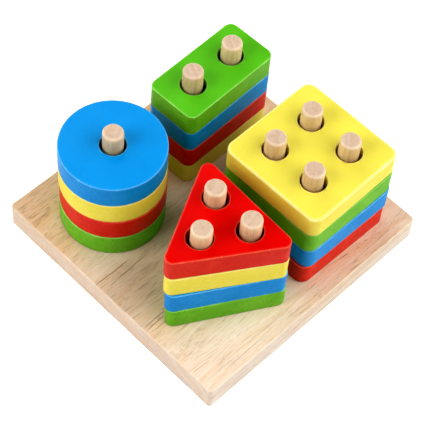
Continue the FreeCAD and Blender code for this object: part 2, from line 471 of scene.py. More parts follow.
@dataclass(frozen=True)
class BareWood:
    """Sanded light hardwood with dark pores, paler and greyer where it is cut across the grain.

    Its rounded edges are painted lighter, with a painted highlight all along them and rubbed wood in
    worn patches; a board's long edges carry painted shade.

    Waves are noise scales per metre, along the grain and both ways across it.  A pair is where
    something is least and where it is most.
    """

    name: str
    grain: Grain
    pale: Colour
    tan: Colour
    pore: Colour
    end: Colour
    # The paler colour of the rounded edges: rubbed wood and a painted highlight.
    rubbed_and_highlight: Colour
    band_width: float
    pith: tuple[float, float, float]
    pore_length: float
    pore_width: float
    pore_cut: float
    pore_strength: float
    band_strength: float
    ring_strength: float = 0.35
    end_strength: float = 0.75
    end_mottle: float = 0.12
    fibre_strength: float = 0.34
    mottle: float = 0.12
    roughness: float = 0.55
    roughness_swing: tuple[float, float] = (-0.05, 0.1)
    specular: float = 0.4
    bump: float = 0.5
    bump_depth: float = 0.15 * MM
    # How strongly the rounded edges are painted lighter, as a painted highlight and rubbed wood.
    edge_highlight_and_rub: float = 0.5
    # Painted shade on a board's long edges, as a darker and greyer tint.
    flank_shade_tint: Colour | None = None
    tone_across: tuple[tuple[float, float], ...] = ()
    streaks: tuple[Streak, ...] = ()

    CUT_FACING = (0.55, 0.9)
    FIBRE_SPAN = (0.35, 0.7)
    DRIFT_SPAN = (0.3, 0.7)
    DRIFT_TONES = (-0.15, 0.25)
    PORE_TONES = (-0.1, 0.6)
    PORES_SHOWING = (0.45, 1.15)
    PORES_ON_END = 0.6
    ROLL_RELIEF = 0.3
    TONE_STEP = 3.0 * MM
    TONE_WAVES = (14.0, 30.0, 30.0)
    TONE_SWAY = 22.0 * MM
    STREAK_WAVES = (45.0, 25.0, 25.0)
    STREAK_SWAY = 2.2 * MM

    def material(self, effects: Effects) -> bpy.types.Material:
        """Builds the wood.

        Args:
            effects: The shared node groups.

        Returns:
            The material.
        """
        material, w, shader = start_material(self.name)
        place = w.add("ShaderNodeTexCoord")
        position = place.outputs["Object"]
        normal = w.add("ShaderNodeSeparateXYZ", {"Vector": place.outputs["Normal"]}).outputs
        facing = normal["X"]
        if self.grain is Grain.ALONG_Z:
            # The timber's grain runs along X, so an upright piece is read with X and Z swapped.
            parts = w.add("ShaderNodeSeparateXYZ", {"Vector": position}).outputs
            swapped = {"X": parts["Z"], "Y": parts["Y"], "Z": parts["X"]}
            position = w.add("ShaderNodeCombineXYZ", swapped).outputs[0]
            facing = normal["Z"]
        arris = w.add("ShaderNodeAttribute", attribute_name=ARRIS).outputs["Fac"]
        wood = w.place(effects.timber, {
            "Position": position,
            "Pith": self.pith,
            "Band Width": self.band_width,
            "Pore Length": self.pore_length,
            "Pore Width": self.pore_width,
            "Pore Cut": self.pore_cut,
        }).outputs
        touched = w.place(effects.handling, {"Position": position, "Speck Cut": 0.52}).outputs
        worn = w.place(effects.edge_wear, {"Position": position, "Arris": arris, "Amount": 0.7})
        tone = self._tone(w, position, wood)
        base = w.blend(tone, self.pale, self.tan)
        fibre = w.remap(wood["Fibres"], *self.FIBRE_SPAN, 0.0, self.fibre_strength)
        base = w.blend(fibre, base, self.tan)
        # The darker the wood, the more its pores show.
        faintest, clearest = (share * self.pore_strength for share in self.PORES_SHOWING)
        showing = w.remap(tone, *self.PORE_TONES, faintest, clearest)
        flecks = w.math("MULTIPLY", wood["Pores"], showing, clamp=True)
        base = w.blend(flecks, base, self.pore)
        if self.streaks:
            base = w.blend(self._streak_mask(w, position), base, self.pore)
        base = w.blend(w.math("MULTIPLY", touched["Specks"], self.mottle), base, self.tan)
        cut = w.blend(w.math("MULTIPLY", flecks, self.PORES_ON_END), self.end, self.pore)
        cut = w.blend(w.math("MULTIPLY", wood["Bands"], self.ring_strength), cut, self.tan)
        cut = w.blend(w.math("MULTIPLY", touched["Specks"], self.end_mottle), cut, self.pore)
        end_grain = w.remap(w.math("ABSOLUTE", facing), *self.CUT_FACING)
        base = w.blend(w.math("MULTIPLY", end_grain, self.end_strength), base, cut)
        if self.flank_shade_tint:
            # Painted shade: the board's long edges are tinted darker and greyer than its face, partly as
            # another cut of the wood.
            flank_shade = w.remap(w.math("ABSOLUTE", normal["Y"]), *self.CUT_FACING)
            base = w.blend(flank_shade, base, self.flank_shade_tint, "MULTIPLY")
        # Rounded edges are painted lighter: a painted highlight all along them, and rubbed wood in worn
        # patches.
        base = w.blend(w.math("MULTIPLY", arris, self.edge_highlight_and_rub), base, self.rubbed_and_highlight)
        base = w.blend(w.math("MULTIPLY", worn.outputs["Worn"], self.edge_highlight_and_rub), base, self.rubbed_and_highlight)
        smoothest, roughest = (self.roughness + swing for swing in self.roughness_swing)
        relief = w.math("ADD", wood["Height"], w.math("MULTIPLY", touched["Height"], self.ROLL_RELIEF))
        bump = {"Strength": self.bump, "Distance": self.bump_depth, "Height": relief}
        w.fill(shader, {
            "Base Color": base,
            "Roughness": w.remap(touched["Clouds"], 0.0, 1.0, smoothest, roughest),
            "Specular IOR Level": self.specular,
            "Normal": w.add("ShaderNodeBump", bump).outputs["Normal"],
        })
        return material

    def _tone(self, w: Wiring, position: Socket, wood: Mapping[str, Socket]) -> Socket:
        """How far the wood is from pale towards tan.

        Args:
            w: The material's wiring.
            position: The wood's own coordinates.
            wood: What the timber group gives.

        Returns:
            The tone, where 0 is pale and 1 is tan.
        """
        tone = w.math("MULTIPLY", wood["Bands"], self.band_strength)
        tone = w.math("ADD", tone, w.remap(wood["Drift"], *self.DRIFT_SPAN, *self.DRIFT_TONES))
        return w.math("ADD", tone, self._broad_tone(w, position)) if self.tone_across else tone

    def _broad_tone(self, w: Wiring, position: Socket) -> Socket:
        """How tan the wood is across its width, from (place, tone) pairs that run front to back.

        Args:
            w: The material's wiring.
            position: The wood's own coordinates.

        Returns:
            The tone to add.
        """
        across = self._swaying(w, position, self.TONE_WAVES, self.TONE_SWAY)["Y"]
        total: object = 0.0
        last_tone = 0.0
        for place, tone in self.tone_across:
            low, high = place - self.TONE_STEP, place + self.TONE_STEP
            total = w.math("ADD", total, w.remap(across, low, high, 0.0, tone - last_tone))
            last_tone = tone
        return total

    def _streak_mask(self, w: Wiring, position: Socket) -> Socket:
        """Where the dark lines are.

        Args:
            w: The material's wiring.
            position: The wood's own coordinates.

        Returns:
            The lines' strength.
        """
        places = self._swaying(w, position, self.STREAK_WAVES, self.STREAK_SWAY)
        total: object = 0.0
        for streak in self.streaks:
            middle = (streak.start + streak.end) / 2
            half = (streak.end - streak.start) / 2
            along = w.math("SUBTRACT", places["X"], middle)
            centre = w.math("MULTIPLY_ADD", along, streak.slope, streak.across)
            off = w.math("ABSOLUTE", w.math("SUBTRACT", places["Y"], centre))
            near = w.remap(off, streak.width, 0.0)
            within = w.remap(w.math("ABSOLUTE", along), half, half / 2)
            mask = w.math("MULTIPLY", near, w.math("MULTIPLY", within, streak.strength))
            total = w.math("MAXIMUM", total, mask)
        return total

    @staticmethod
    def _swaying(
        w: Wiring, position: Socket, waves: tuple[float, float, float], reach: float
    ) -> dict[str, Socket]:
        """Splits the wood's coordinates, and lets the one across the grain sway.

        Args:
            w: The material's wiring.
            position: The wood's own coordinates.
            waves: The sway's noise scales per metre.
            reach: How far it can sway from end to end.

        Returns:
            The place along the grain as X and the place across it as Y.
        """
        parts = w.add("ShaderNodeSeparateXYZ", {"Vector": position}).outputs
        sway = w.noise(w.vector("MULTIPLY", position, waves), 1.0, 2.0)
        sway = w.math("MULTIPLY", w.math("SUBTRACT", sway, 0.5), reach)
        return {"X": parts["X"], "Y": w.math("ADD", parts["Y"], sway)}


# ---- Plan outlines ---------------------------------------------------------------------------
@dataclass(frozen=True)
class Outline:
    """A closed plan outline, anticlockwise, as evenly spaced points with outward normals."""

    points: np.ndarray
    normals: np.ndarray

    CORNER_STEPS = 10

    @staticmethod
    def circle(radius: float, spacing: float) -> "Outline":
        """An outline round the origin.

        Args:
            radius: The circle's radius.
            spacing: About how far apart its points are.

        Returns:
            The outline.
        """
        count = 4 * max(8, round(2 * math.pi * radius / spacing / 4))
        angle = np.arange(count) * 2 * math.pi / count
        normals = np.stack([np.cos(angle), np.sin(angle)], 1)
        return Outline(normals * radius, normals)

    @classmethod
    def rounded(cls, corners: Sequence[tuple[float, float]], radius: float, spacing: float) -> "Outline":
        """A polygon with rounded corners.

        Args:
            corners: The sharp corners, anticlockwise.
            radius: The corners' radius.
            spacing: About how far apart points on straight runs are.

        Returns:
            The outline.
        """
        sharp = [np.array(corner, float) for corner in corners]
        after = sharp[1:] + sharp[:1]
        arcs = [cls._corner(sharp[k - 1], sharp[k], after[k], radius) for k in range(len(sharp))]
        points: list[np.ndarray] = []
        normals: list[np.ndarray] = []
        for (arc, facing), (next_arc, _) in zip(arcs, arcs[1:] + arcs[:1]):
            run = next_arc[0] - arc[-1]
            pieces = max(2, round(float(np.linalg.norm(run)) / spacing))
            points += [*arc, *(arc[-1] + run * step / pieces for step in range(1, pieces))]
            normals += [*facing, *([facing[-1]] * (pieces - 1))]
        return cls(np.array(points), np.array(normals))

    @classmethod
    def _corner(
        cls, before: np.ndarray, corner: np.ndarray, after: np.ndarray, radius: float
    ) -> tuple[np.ndarray, np.ndarray]:
        """The arc that rounds one corner.

        Args:
            before: The sharp corner before it.
            corner: The sharp corner itself.
            after: The sharp corner after it.
            radius: The arc's radius.

        Returns:
            The arc's points and normals.
        """
        come = unit(corner - before)
        leave = unit(after - corner)
        turn = math.acos(float(np.clip(come @ leave, -1, 1)))
        first_normal = np.array([come[1], -come[0]])
        centre = corner - come * radius * math.tan(turn / 2) - first_normal * radius
        start = math.atan2(first_normal[1], first_normal[0])
        angle = start + turn * np.arange(cls.CORNER_STEPS + 1) / cls.CORNER_STEPS
        normals = np.stack([np.cos(angle), np.sin(angle)], 1)
        return centre + normals * radius, normals


def unit(vector: np.ndarray) -> np.ndarray:
    """The vector at length 1."""
    return vector / np.linalg.norm(vector)


def box_corners(x: float, y: float) -> list[tuple[float, float]]:
    """The corners of a rectangle round the origin, anticlockwise, from its half sizes."""
    return [(x, -y), (x, y), (-x, y), (-x, -y)]


# ---- Solid meshes ----------------------------------------------------------------------------
class WallRow(NamedTuple):
    """One ring of a slab's wall, where the edge's own round is 1."""

    share: float            # how far in from the wall
    level: float            # 0 up to the lower round, 1 from the upper round, and between them
    drop: float             # how far from the nearer face
    arris: float = 0.0
    inset: float = 0.0      # how much further in, as a length


@dataclass
class SlabMesh:
    """A flat slab with holes, whose edges are eased by hand: rounder in some places than others.

    The slab stands on Z = 0 in its own axes.  Nothing reaches outside the true outline: the
    unevenness only ever takes wood away.  Waves are noise scales per metre, and a layer keeps one
    noise apart from another.
    """

    outline: Outline
    thickness: float
    edge_round: float
    hole_round: float
    holes: list[tuple[float, float, float]]
    hole_floor: float = 0.0
    cap_spacing: float = 2.4 * MM
    wobble: float = 0.05 * MM
    seed: float = 0.0
    verts: list[Vector] = field(default_factory=list, init=False)
    faces: list[tuple[int, ...]] = field(default_factory=list, init=False)
    arris: list[float] = field(default_factory=list, init=False)

    ARC_STEPS = 5
    WALL_RINGS = 7
    HOLE_SPACING = 0.75 * MM
    SUPPORT_INSET = 0.5 * MM
    SUPPORT_EASE = 0.7
    GRID_CLEARANCE = 0.6
    EASE_SWING = 0.28
    EASE_WAVES = 55.0
    EASE_LAYER = 3.0
    SANDING_WAVES = 90.0
    SANDING_LAYER = 11.0
    SANDING_RISE = 120.0
    FACE_WAVES = 60.0
    FACE_LAYER = 30.0
    FACE_DIP = 0.6

    def build(self, name: str) -> bpy.types.Object:
        """Builds the slab.

        Args:
            name: The object's name.

        Returns:
            The object, linked to the scene.
        """
        outer = self._rim(self.outline.points, self.outline.normals, self.edge_round, False)
        top_loops = [outer[0]]
        bottom_loops = [outer[-1]]
        for x, y, radius in self.holes:
            circle = Outline.circle(radius, self.HOLE_SPACING)
            ring = circle.points + np.array([x, y])
            rings = self._rim(ring, -circle.normals, self.hole_round, self.hole_floor > 0)
            top_loops.append(rings[0])
            if self.hole_floor > 0:
                self.faces.append(tuple(rings[-1]))
            else:
                bottom_loops.append(rings[-1])
        self._cap(top_loops, self.thickness, True)
        self._cap(bottom_loops, 0.0, False)
        return make_object(name, self.verts, self.faces, self.arris)

    def _section(self, blind: bool) -> list[WallRow]:
        """The wall's section, from the support ring on the top face to the one on the bottom.

        Args:
            blind: True for a hole that stops at the hole floor.

        Returns:
            The rings, top first.
        """
        arc = quarter_round(self.ARC_STEPS)
        upper = [WallRow(share, 1.0, drop, arris) for share, drop, arris in arc]
        middle = [WallRow(0.0, 1 - (k + 1) / (self.WALL_RINGS + 1), 0.0) for k in range(self.WALL_RINGS)]
        support = WallRow(1.0, 1.0, 0.0, inset=self.SUPPORT_INSET)
        if blind:
            return [support, *upper, *middle, WallRow(0.0, 0.0, 0.0)]
        lower = [row._replace(level=0.0) for row in reversed([support, *upper])]
        return [support, *upper, *middle, *lower]

    def _rim(self, ring: np.ndarray, outward: np.ndarray, radius: float, blind: bool) -> list[list[int]]:
        """Builds one wall, from the support ring on the top face to the one on the bottom.

        Args:
            ring: The wall's plan points.
            outward: Unit vectors out of the wood.
            radius: The usual edge round.
            blind: True for a hole that stops at the hole floor.

        Returns:
            The vertex numbers of each ring, top first.
        """
        floor = self.hole_floor if blind else 0.0
        rings: list[list[int]] = []
        for row in self._section(blind):
            numbers: list[int] = []
            for point, normal in zip(ring, outward):
                swing = self.EASE_SWING * self._noise(point, self.EASE_WAVES, self.EASE_LAYER)
                ease = radius * (1 + swing)
                if row.level >= 1.0:
                    z = self.thickness - ease * row.drop
                elif row.level <= 0.0:
                    z = floor + ease * row.drop
                else:
                    z = floor + ease + (self.thickness - floor - 2 * ease) * row.level
                layer = self.SANDING_LAYER + z * self.SANDING_RISE
                sanded = self.wobble * (0.5 + 0.5 * self._noise(point, self.SANDING_WAVES, layer))
                x, y = point - normal * (row.inset + ease * row.share + sanded)
                numbers.append(self._vertex(x, y, z, row.arris))
            rings.append(numbers)
        clockwise = self._turns_clockwise(ring, outward)
        for upper, lower in zip(rings, rings[1:]):
            for quad in ring_quads(upper, lower):
                self.faces.append(tuple(reversed(quad)) if clockwise else quad)
        return rings

    @staticmethod
    def _turns_clockwise(ring: np.ndarray, outward: np.ndarray) -> bool:
        """True where going round the ring keeps the wood on the right, as in a hole."""
        step = ring[1] - ring[0]
        return bool(step[1] * outward[0][0] - step[0] * outward[0][1] < 0)

    def _noise(self, point: Sequence[float], waves: float, layer: float) -> float:
        """Smooth noise from -1 to 1 at a plan point."""
        place = (point[0] * waves + self.seed, point[1] * waves, layer + self.seed)
        return noise.noise(Vector(place))

    def _vertex(self, x: float, y: float, z: float, arris: float) -> int:
        """Adds a vertex.

        Args:
            x: Its place in plan.
            y: Its place in plan.
            z: Its height.
            arris: How far it is part of a rounded edge.

        Returns:
            Its number.
        """
        self.verts.append(Vector((x, y, z)))
        self.arris.append(arris)
        return len(self.verts) - 1

    def _cap(self, loops: list[list[int]], z: float, up: bool) -> None:
        """Fills a face between its loops with even triangles, slightly uneven as sanding leaves it.

        Args:
            loops: The outer loop of vertex numbers, then one per hole.
            z: The face's height.
            up: True for the top face.
        """
        flat: list[Vector] = []
        numbers: list[int] = []
        edges: list[tuple[int, int]] = []
        for loop in loops:
            start = len(flat)
            for k, number in enumerate(loop):
                flat.append(self.verts[number].to_2d())
                numbers.append(number)
                edges.append((start + k, start + (k + 1) % len(loop)))
        outer = np.array([flat[k][:] for k in range(len(loops[0]))])
        for x, y in self._grid(outer):
            flat.append(Vector((x, y)))
            dip = 0.5 + 0.5 * self._noise((x, y), self.FACE_WAVES, self.FACE_LAYER + z)
            depth = self.FACE_DIP * self.wobble * dip
            numbers.append(self._vertex(x, y, z - depth if up else z + depth, 0.0))
        points, _, triangles, origins = geometry.delaunay_2d_cdt(flat, edges, [], 0, 1e-9)[:4]
        for triangle in triangles:
            middle = sum((points[k] for k in triangle), Vector((0.0, 0.0))) / 3
            if self._is_wood(middle.x, middle.y, outer, 0.0):
                corners = [numbers[origins[k][0]] for k in triangle]
                self.faces.append(tuple(corners if up else reversed(corners)))

    def _grid(self, outer: np.ndarray) -> Iterator[tuple[float, float]]:
        """Points spread evenly over a face, clear of its loops.

        Args:
            outer: The face's outer loop, in plan.

        Returns:
            The points, row by row, with every other row half a step along.
        """
        gap = self.cap_spacing
        low, high = outer.min(0), outer.max(0)
        xs = np.arange(low[0] + gap, high[0], gap)
        for row, y in enumerate(np.arange(low[1] + gap, high[1], gap)):
            for x in xs + (gap / 2 if row % 2 else 0.0):
                if self._is_wood(x, y, outer, self.GRID_CLEARANCE * gap):
                    yield x, y

    def _is_wood(self, x: float, y: float, outer: np.ndarray, clear: float) -> bool:
        """Tells whether a plan point is inside the outline and outside the holes.

        Args:
            x: The point's place.
            y: The point's place.
            outer: The outer loop.
            clear: How far inside it must be.

        Returns:
            True where there is wood.
        """
        support = self.SUPPORT_INSET + self.SUPPORT_EASE * self.hole_round
        for hole_x, hole_y, radius in self.holes:
            if math.hypot(x - hole_x, y - hole_y) < radius + support + clear:
                return False
        if clear and np.hypot(outer[:, 0] - x, outer[:, 1] - y).min() < clear:
            return False
        after = np.roll(outer, -1, axis=0)
        spans = (outer[:, 1] > y) != (after[:, 1] > y)
        rise = np.where(after[:, 1] == outer[:, 1], 1.0, after[:, 1] - outer[:, 1])
        crossing = outer[:, 0] + (y - outer[:, 1]) / rise * (after[:, 0] - outer[:, 0])
        return bool(np.count_nonzero(spans & (x < crossing)) % 2)


def quarter_round(steps: int) -> list[tuple[float, float, float]]:
    """The section of a rounded edge of radius 1, from the face to the wall.

    Args:
        steps: How many spans it has.

    Returns:
        Rows of (distance in from the wall, drop from the face, arris).
    """
    rows: list[tuple[float, float, float]] = []
    for step in range(steps + 1):
        angle = math.pi / 2 * step / steps
        arris = math.sin(math.pi * (step + 0.5) / (steps + 1))
        rows.append((1 - math.sin(angle), 1 - math.cos(angle), arris))
    return rows


def ring_quads(upper: Sequence[int], lower: Sequence[int]) -> list[tuple[int, int, int, int]]:
    """The quads between two rings of vertex numbers, one above the other."""
    after = [(k + 1) % len(upper) for k in range(len(upper))]
    return [(upper[k], lower[k], lower[n], upper[n]) for k, n in enumerate(after)]


def make_object(
    name: str, verts: Sequence[Vector], faces: Sequence[tuple[int, ...]], arris: Sequence[float]
) -> bpy.types.Object:
    """Makes a smooth mesh object that carries the arris attribute.

    Args:
        name: The object's name.
        verts: The vertices.
        faces: The faces, as vertex numbers.
        arris: How far each vertex is part of a rounded edge.

    Returns:
        The object, linked to the scene.
    """
    mesh = bpy.data.meshes.new(name)
    mesh.from_pydata([v[:] for v in verts], [], faces)
    mesh.attributes.new(ARRIS, "FLOAT", "POINT").data.foreach_set("value", np.array(arris, np.float32))
    work = bmesh.new()
    work.from_mesh(mesh)
    loose = [v for v in work.verts if not v.link_faces]
    bmesh.ops.delete(work, geom=loose, context="VERTS")
    bmesh.ops.recalc_face_normals(work, faces=work.faces)
    work.to_mesh(mesh)
    work.free()
    mesh.polygons.foreach_set("use_smooth", [True] * len(mesh.polygons))
    made = bpy.data.objects.new(name, mesh)
    bpy.context.scene.collection.objects.link(made)
    return made


def finish_piece(
    piece: bpy.types.Object, node: str, body: str, look: bpy.types.Material
) -> None:
    """Dresses a piece, and has it stand for its frame node and ride on its body.

    Args:
        piece: The piece.
        node: The frame node that it stands for.
        body: The body that it rides on.
        look: Its material.
    """
    piece.data.materials.append(look)
    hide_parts(node)
    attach(piece, body)
    LOG.info("%s: %d faces, on %s", piece.name, len(piece.data.polygons), body)


# ---- Dowel pegs ------------------------------------------------------------------------------
@dataclass(frozen=True)
class PegPlace:
    """Where a peg of the frame stands, and its size."""

    node: str
    axis: np.ndarray
    foot: float
    height: float
    radius: float


def peg_places(stack: str = "") -> list[PegPlace]:
    """Finds the frame's pegs.

    Args:
        stack: The word for one stack's pegs, or nothing for them all.

    Returns:
        The pegs, in the order of their names.
    """
    places: list[PegPlace] = []
    for node in sorted(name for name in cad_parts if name.startswith("peg_" + stack)):
        low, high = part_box(node)
        axis = np.array(((low + high) / 2)[:2])
        places.append(PegPlace(node, axis, low.z, high.z - low.z, (high.x - low.x) / 2))
    return places


@dataclass
class DowelPegs:
    """The ten turned pegs, with tumbled tips and end grain on top."""

    wood: BareWood
    effects: Effects
    tip_round: float = 1.2 * MM
    foot_round: float = 0.8 * MM
    turning: float = 0.04 * MM
    tumbling: float = 0.16
    saw_mark: float = 0.05 * MM
    seed_step: float = 3.7

    AROUND = 72
    TIP_STEPS = 7
    LENGTH_STEPS = 30
    TOP_SHARES = (0.18, 0.36, 0.54, 0.68)
    TURNING_WAVES = 1.7
    TURNING_RISE = 55.0
    TUMBLE_WAVES = 2.6
    TUMBLE_LAYER = 5.0
    SAW_WAVES = 900.0

    def build(self) -> list[bpy.types.Object]:
        """Builds every peg.

        Returns:
            The peg objects.
        """
        look = self.wood.material(self.effects)
        made: list[bpy.types.Object] = []
        for index, place in enumerate(peg_places()):
            piece = self._peg(place, index * self.seed_step)
            finish_piece(piece, place.node, "base", look)
            made.append(piece)
        return made

    def _section(self, radius: float, height: float) -> list[tuple[float, float, float]]:
        """The peg's section, from the middle of the top down.

        Args:
            radius: The peg's radius.
            height: The peg's height.

        Returns:
            Rows of (radius, height, arris).
        """
        tip, foot = self.tip_round, self.foot_round
        rows = [(radius * share, height, 0.0) for share in self.TOP_SHARES]
        for inset, drop, arris in quarter_round(self.TIP_STEPS):
            rows.append((radius - tip * inset, height - tip * drop, arris))
        for step in range(1, self.LENGTH_STEPS):
            rows.append((radius, height - tip + (foot + tip - height) * step / self.LENGTH_STEPS, 0.0))
        rows += [(radius, foot, 0.3), (radius - foot / 2, foot / 3, 0.6), (radius - foot, 0.0, 0.3)]
        return rows

    def _peg(self, place: PegPlace, seed: float) -> bpy.types.Object:
        """Builds one peg in the place of its frame node.

        Args:
            place: Where the peg stands.
            seed: Sets how this peg's turning differs from the others'.

        Returns:
            The object.
        """
        centre = Vector((*place.axis, place.foot))
        verts = [centre + Vector((0.0, 0.0, place.height - self.saw_mark))]
        arris = [0.0]
        rings: list[range] = []
        for radius, height, edge in self._section(place.radius, place.height):
            rings.append(range(len(verts), len(verts) + self.AROUND))
            for k in range(self.AROUND):
                angle = 2 * math.pi * k / self.AROUND
                way = Vector((math.cos(angle), math.sin(angle), 0.0))
                drop = 0.0
                if height > place.height - self.tip_round:
                    saw = noise.noise(way * radius * self.SAW_WAVES + Vector((seed, seed, 0.0)))
                    drop = self.saw_mark * (0.5 + 0.5 * saw)
                flat = way * max(radius - self._taken_off(way, height, edge, seed), 0.0)
                verts.append(centre + flat + Vector((0.0, 0.0, height - drop)))
                arris.append(edge)
        faces: list[tuple[int, ...]] = [(0, rings[0][k - 1], rings[0][k]) for k in range(self.AROUND)]
        for upper, lower in zip(rings, rings[1:]):
            faces += ring_quads(upper, lower)
        faces.append(tuple(reversed(rings[-1])))
        return make_object(place.node + "_dowel", verts, faces, arris)

    def _taken_off(self, way: Vector, height: float, edge: float, seed: float) -> float:
        """How much turning and tumbling take off the peg's radius at one place.

        Args:
            way: The unit vector out from the axis.
            height: The place's height above the foot.
            edge: How far it is part of a rounded edge.
            seed: The peg's own seed.

        Returns:
            The length taken off.
        """
        lump = noise.noise(way * self.TURNING_WAVES + Vector((seed, 0.0, height * self.TURNING_RISE)))
        tumble = noise.noise(way * self.TUMBLE_WAVES + Vector((0.0, seed, self.TUMBLE_LAYER)))
        tumbled = edge * self.tumbling * self.tip_round * (0.5 + 0.5 * tumble)
        return self.turning * (0.5 + 0.5 * lump) + tumbled


# ---- Base board ------------------------------------------------------------------------------
@dataclass
class BaseBoard:
    """The square board, with a blind hole round the foot of each peg."""

    wood: BareWood
    effects: Effects
    corner_radius: float = 2.2 * MM
    edge_round: float = 0.6 * MM
    seat_ease: float = 0.25 * MM
    glue_gap: float = 0.06 * MM
    point_spacing: float = 1.5 * MM
    cap_spacing: float = 3.2 * MM
    wobble: float = 0.04 * MM
    node: str = "base_board"

    def build(self) -> bpy.types.Object:
        """Builds the board.

        Returns:
            The board object.
        """
        low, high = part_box(self.node)
        pegs = peg_places()
        slab = SlabMesh(
            outline=Outline.rounded(box_corners(high.x, high.y), self.corner_radius, self.point_spacing),
            thickness=high.z - low.z,
            edge_round=self.edge_round,
            hole_round=self.seat_ease,
            holes=[(*peg.axis, peg.radius + self.glue_gap) for peg in pegs],
            hole_floor=pegs[0].foot - low.z,
            cap_spacing=self.cap_spacing,
            wobble=self.wobble,
        )
        piece = slab.build("board_panel")
        piece.data.transform(Matrix.Translation((0.0, 0.0, low.z)))
        finish_piece(piece, self.node, "base", self.wood.material(self.effects))
        return piece


# ---- Painted blocks --------------------------------------------------------------------------
@dataclass
class BlockStacks:
    """The sixteen painted blocks, each where its frame node lies on its pegs."""

    effects: Effects
    paints: tuple[Paint, ...]
    disc_radius: float = 26.45 * MM
    square_side: float = 60.2 * MM
    square_corner: float = 5.4 * MM
    rectangle_length: float = 59.1 * MM
    rectangle_width: float = 30.1 * MM
    rectangle_corner: float = 4.4 * MM
    triangle_side: float = 65.3 * MM
    triangle_corner: float = 4.0 * MM
    edge_round: float = 0.5 * MM
    soft_edge_round: float = 1.2 * MM
    soft_block: str = "yellow_square"
    hole_round: float = 0.4 * MM
    point_spacing: float = 1.1 * MM
    seed_step: float = 5.3

    def build(self) -> list[bpy.types.Object]:
        """Builds every block.

        Returns:
            The block objects.
        """
        looks = {paint.tint: paint.material(self.effects) for paint in self.paints}
        made: list[bpy.types.Object] = []
        for plan in Plan:
            outline = self._outline(plan)
            axes = np.array([peg.axis for peg in peg_places(plan.value)])
            for tint in Tint:
                node = f"{tint.value}_{plan.value}"
                piece = self._block(node, outline, axes, len(made) * self.seed_step)
                finish_piece(piece, node, node, looks[tint])
                made.append(piece)
        return made

    def _outline(self, plan: Plan) -> Outline:
        """The outline of one kind of block, round its stack's centre.

        Args:
            plan: The kind of block.

        Returns:
            The outline.
        """
        if plan is Plan.DISC:
            return Outline.circle(self.disc_radius, self.point_spacing)
        if plan is Plan.TRIANGLE:
            reach, half = self.triangle_side / (2 * math.sqrt(3)), self.triangle_side / 2
            corners, radius = [(reach, -half), (reach, half), (-2 * reach, 0.0)], self.triangle_corner
        elif plan is Plan.SQUARE:
            corners, radius = box_corners(self.square_side / 2, self.square_side / 2), self.square_corner
        else:
            corners = box_corners(self.rectangle_length / 2, self.rectangle_width / 2)
            radius = self.rectangle_corner
        return Outline.rounded(corners, radius, self.point_spacing)

    def _block(self, node: str, outline: Outline, axes: np.ndarray, seed: float) -> bpy.types.Object:
        """Builds one block.

        Args:
            node: The frame node it stands for.
            outline: The block's outline round its own centre.
            axes: Where the pegs that it stands on are.
            seed: Sets how this block's sanding differs from the others'.

        Returns:
            The object.
        """
        low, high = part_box(node)
        spread = axes - axes.mean(0)
        found = np.array([hole_in_node(node, axis) for axis in axes])
        centre = found[:, :2].mean(0)
        hole_radius = float(found[:, 2].mean()) - self.hole_round
        turn = plan_turn(spread, found[:, :2] - centre)
        slab = SlabMesh(
            outline=outline,
            thickness=high.z - low.z,
            edge_round=self.soft_edge_round if node == self.soft_block else self.edge_round,
            hole_round=self.hole_round,
            holes=[(float(x), float(y), hole_radius) for x, y in spread],
            seed=seed,
        )
        piece = slab.build(node + "_block")
        piece.data.transform(Matrix.Translation((*centre, low.z)) @ Matrix.Rotation(turn, 4, "Z"))
        return piece


def hole_in_node(node: str, axis: np.ndarray, reach: float = 9.2 * MM) -> tuple[float, float, float]:
    """Finds the mouth of the hole that a frame node has round a peg.

    Args:
        node: The frame node.
        axis: The peg's plan place.
        reach: How far from the peg the mouth's points can be.

    Returns:
        The mouth's centre and radius.
    """
    points = np.array([v.co[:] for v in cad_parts[node].data.vertices])
    top = points[points[:, 2] > points[:, 2].max() - LEVEL_TOLERANCE][:, :2]
    mouth = top[np.hypot(*(top - axis).T) < reach]
    # Every point (x, y) of a circle round (a, b) fits x * x + y * y = 2 * a * x + 2 * b * y + rest.
    rows = np.column_stack([2 * mouth, np.ones(len(mouth))])
    x, y, rest = np.linalg.lstsq(rows, (mouth**2).sum(1), rcond=None)[0]
    return float(x), float(y), math.sqrt(rest + x * x + y * y)


def plan_turn(before: np.ndarray, after: np.ndarray) -> float:
    """The angle that best turns one set of plan points onto another, both round the origin.

    Args:
        before: The points to turn.
        after: Where they should go.

    Returns:
        The angle in radians, or 0 for a lone point.
    """
    if len(before) == 1:
        return 0.0
    cross = (before[:, 0] * after[:, 1] - before[:, 1] * after[:, 0]).sum()
    return math.atan2(cross, (before * after).sum())


# ---- Studio ----------------------------------------------------------------------------------
@dataclass(frozen=True)
class Softbox:
    """A square soft light that points at the object, with its angles in degrees."""

    name: str
    azimuth: float
    elevation: float
    side: float
    watts: float


